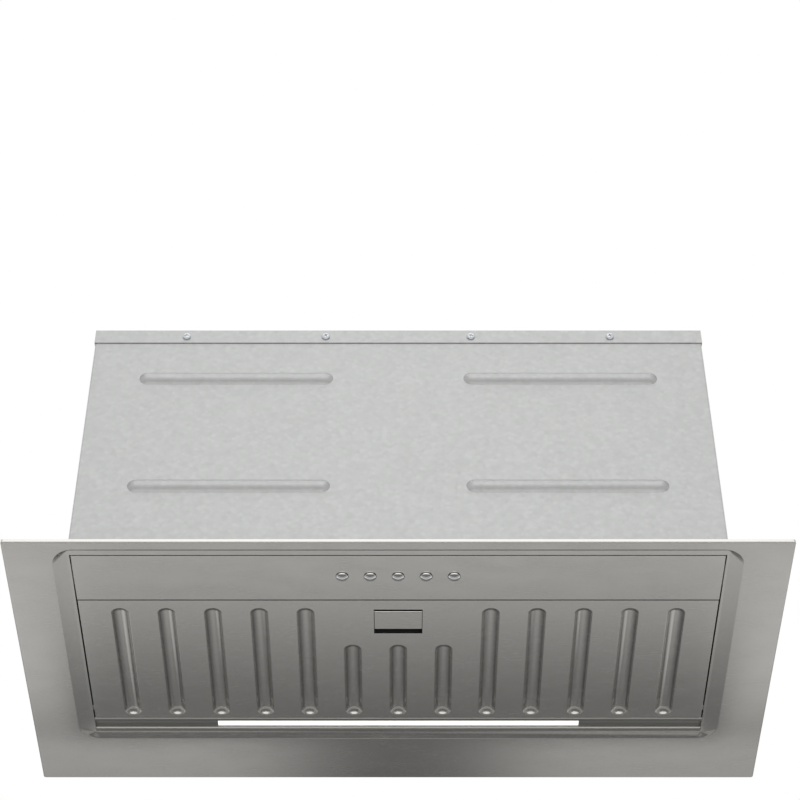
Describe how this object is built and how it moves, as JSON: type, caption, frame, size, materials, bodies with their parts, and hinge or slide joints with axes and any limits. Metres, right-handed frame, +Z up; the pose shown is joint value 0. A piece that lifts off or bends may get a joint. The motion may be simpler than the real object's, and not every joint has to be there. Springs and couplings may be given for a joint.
{
  "type": "undermount range hood",
  "caption": "Undermount range hood with a dished stainless face plate, push buttons, a hinged grooved filter panel, LED bar, centrifugal blower and flapped duct spigot.",
  "frame": {"origin": "centre of the seating plane, on top of the face plate's hem", "axes": "+X to the viewer's right, +Y to the wall, +Z up into the cabinet"},
  "size_m": [0.6, 0.3, 0.2943],
  "materials": {
    "stainless": "brushed",
    "zinc_steel": "galvanised",
    "bright_steel": "turned",
    "screw_steel": "zinc plated",
    "chrome": "polished",
    "aluminium": "satin",
    "black_plastic": "matte",
    "grey_plastic": "matte",
    "opal_plastic": "opal",
    "board": "white mask"
  },
  "bodies": {
    "housing": {"face_plate": "stainless", "control_panel": "stainless", "throat_frame": "zinc_steel", "front_panel": "zinc_steel", "rear_panel": "zinc_steel", "left_end_panel": "zinc_steel", "right_end_panel": "zinc_steel", "top_panel": "zinc_steel", "hinge_bracket_left": "zinc_steel", "hinge_bracket_right": "zinc_steel", "mesh_rail_left": "zinc_steel", "mesh_rail_right": "zinc_steel", "motor_bracket": "zinc_steel", "capacitor_clip": "zinc_steel", "bracket_front_left": "zinc_steel", "bracket_front_right": "zinc_steel", "bracket_rear_left": "zinc_steel", "bracket_rear_right": "zinc_steel", "flap_pin": "bright_steel", "motor_body": "bright_steel", "lid_screws": "screw_steel", "spigot_screws": "screw_steel", "blower_screws": "screw_steel", "bracket_screws": "screw_steel", "end_screws": "screw_steel", "led_bar": "aluminium", "mesh_frame": "aluminium", "mesh_pad": "aluminium", "capacitor": "aluminium", "switch_block": "black_plastic", "outlet_spigot": "black_plastic", "terminal_box": "black_plastic", "terminal_lid": "black_plastic", "cable_gland": "black_plastic", "scroll_band": "grey_plastic", "cheek_left": "grey_plastic", "cheek_right": "grey_plastic", "terminal_block": "grey_plastic", "led_driver": "grey_plastic", "led_diffuser": "opal_plastic", "led_board": "board"},
    "filter": {"filter_panel": "stainless", "latch_cup": "black_plastic"},
    "latch": {"latch_slide": "stainless"},
    "rotor": {"fan_wheel": "grey_plastic", "rotor_shaft": "bright_steel"},
    "front_flap": {"flap_front": "black_plastic"},
    "rear_flap": {"flap_rear": "black_plastic"},
    "button_1_body": {"button_1": "chrome"},
    "button_2_body": {"button_2": "chrome"},
    "button_3_body": {"button_3": "chrome"},
    "button_4_body": {"button_4": "chrome"},
    "button_5_body": {"button_5": "chrome"}
  },
  "joints": [
    {"name": "filter_swing", "type": "hinge", "parent": "housing", "child": "filter", "pos_m": [0, 0.0607, 0.0046], "axis": [1, 0, 0], "range_deg": [0, 80]},
    {"name": "latch_slide", "type": "slide", "parent": "filter", "child": "latch", "axis": [0, 1, 0], "range_m": [-0.0022, 0.004], "stiffness_N_per_m": 250},
    {"name": "fan_spin", "type": "hinge", "parent": "housing", "child": "rotor", "pos_m": [0, -0.048, 0.146], "axis": [1, 0, 0], "continuous": true},
    {"name": "front_flap_swing", "type": "hinge", "parent": "housing", "child": "front_flap", "pos_m": [0, 0.008, 0.2628], "axis": [-1, 0, 0], "range_deg": [0, 75]},
    {"name": "rear_flap_swing", "type": "hinge", "parent": "housing", "child": "rear_flap", "pos_m": [0, 0.008, 0.2628], "axis": [1, 0, 0], "range_deg": [0, 75]},
    {"name": "button_1_press", "type": "slide", "parent": "housing", "child": "button_1_body", "axis": [0, 0, 1], "range_m": [0, 0.002], "stiffness_N_per_m": 400},
    {"name": "button_2_press", "type": "slide", "parent": "housing", "child": "button_2_body", "axis": [0, 0, 1], "range_m": [0, 0.002], "stiffness_N_per_m": 400},
    {"name": "button_3_press", "type": "slide", "parent": "housing", "child": "button_3_body", "axis": [0, 0, 1], "range_m": [0, 0.002], "stiffness_N_per_m": 400},
    {"name": "button_4_press", "type": "slide", "parent": "housing", "child": "button_4_body", "axis": [0, 0, 1], "range_m": [0, 0.002], "stiffness_N_per_m": 400},
    {"name": "button_5_press", "type": "slide", "parent": "housing", "child": "button_5_body", "axis": [0, 0, 1], "range_m": [0, 0.002], "stiffness_N_per_m": 400}
  ]
}
